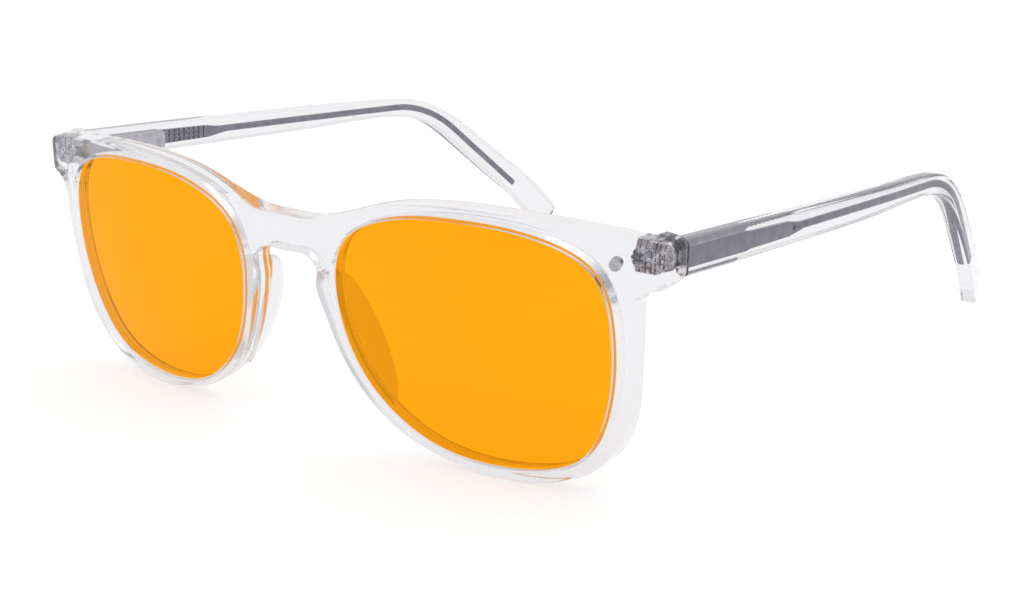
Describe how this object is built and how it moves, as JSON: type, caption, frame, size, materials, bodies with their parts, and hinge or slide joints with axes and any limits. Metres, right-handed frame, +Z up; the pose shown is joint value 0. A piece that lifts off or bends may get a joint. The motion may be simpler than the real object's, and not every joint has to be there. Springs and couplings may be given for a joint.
{
  "type": "spectacles",
  "caption": "Clear plastic spectacles with amber blue-light filtering lenses, wire-cored temples and spring hinges.",
  "frame": {"origin": "centre of the rectangle the open glasses cover on the table, on the table's surface", "axes": "+Z up, -Y the way the wearer looks, +Y towards the temple tips, +X the wearer's left"},
  "size_m": [0.1344, 0.1508, 0.0442],
  "materials": {
    "clear_plastic": "gloss",
    "amber_lens": "gloss",
    "nickel_silver": "satin",
    "steel": "satin"
  },
  "bodies": {
    "front": {"frame_front": "clear_plastic", "lens_left": "amber_lens", "lens_right": "amber_lens", "nose_pad_left": "clear_plastic", "nose_pad_right": "clear_plastic", "front_hinge_left": "nickel_silver", "front_hinge_right": "nickel_silver", "dot_rivet_left": "nickel_silver", "dot_rivet_right": "nickel_silver"},
    "screw_left": {"hinge_screw_left": "steel"},
    "slider_left": {"hinge_slider_left": "nickel_silver", "spring_stop_left": "nickel_silver", "hinge_spring_left": "steel"},
    "temple_left": {"temple_left": "clear_plastic", "spring_housing_left": "nickel_silver", "spring_bush_left": "nickel_silver", "core_wire_left": "nickel_silver"},
    "screw_right": {"hinge_screw_right": "steel"},
    "slider_right": {"hinge_slider_right": "nickel_silver", "spring_stop_right": "nickel_silver", "hinge_spring_right": "steel"},
    "temple_right": {"temple_right": "clear_plastic", "spring_housing_right": "nickel_silver", "spring_bush_right": "nickel_silver", "core_wire_right": "nickel_silver"}
  },
  "joints": [
    {"name": "flex_left", "type": "hinge", "parent": "front", "child": "screw_left", "pos_m": [0.0622, -0.06079, 0.0386], "axis": [0, 0.0419, 0.9991], "range_deg": [-10, 0], "stiffness_Nm_per_rad": 1.2},
    {"name": "fold_left", "type": "hinge", "parent": "screw_left", "child": "slider_left", "pos_m": [0.0622, -0.06079, 0.0386], "axis": [0, 0.0419, 0.9991], "range_deg": [0, 87]},
    {"name": "pull_left", "type": "slide", "parent": "slider_left", "child": "temple_left", "axis": [0, 0.9991, -0.0419], "range_m": [0, 0.001], "deforming": ["hinge_spring_left"]},
    {"name": "flex_right", "type": "hinge", "parent": "front", "child": "screw_right", "pos_m": [-0.0622, -0.06079, 0.0386], "axis": [0, -0.0419, -0.9991], "range_deg": [-10, 0], "stiffness_Nm_per_rad": 1.2},
    {"name": "fold_right", "type": "hinge", "parent": "screw_right", "child": "slider_right", "pos_m": [-0.0622, -0.06079, 0.0386], "axis": [0, -0.0419, -0.9991], "range_deg": [0, 40]},
    {"name": "pull_right", "type": "slide", "parent": "slider_right", "child": "temple_right", "axis": [0, 0.9991, -0.0419], "range_m": [0, 0.001], "deforming": ["hinge_spring_right"]}
  ],
  "couplings": [
    {"joint": "pull_left", "follows": "flex_left", "m_per_rad": -0.0052},
    {"joint": "pull_right", "follows": "flex_right", "m_per_rad": -0.0052}
  ]
}
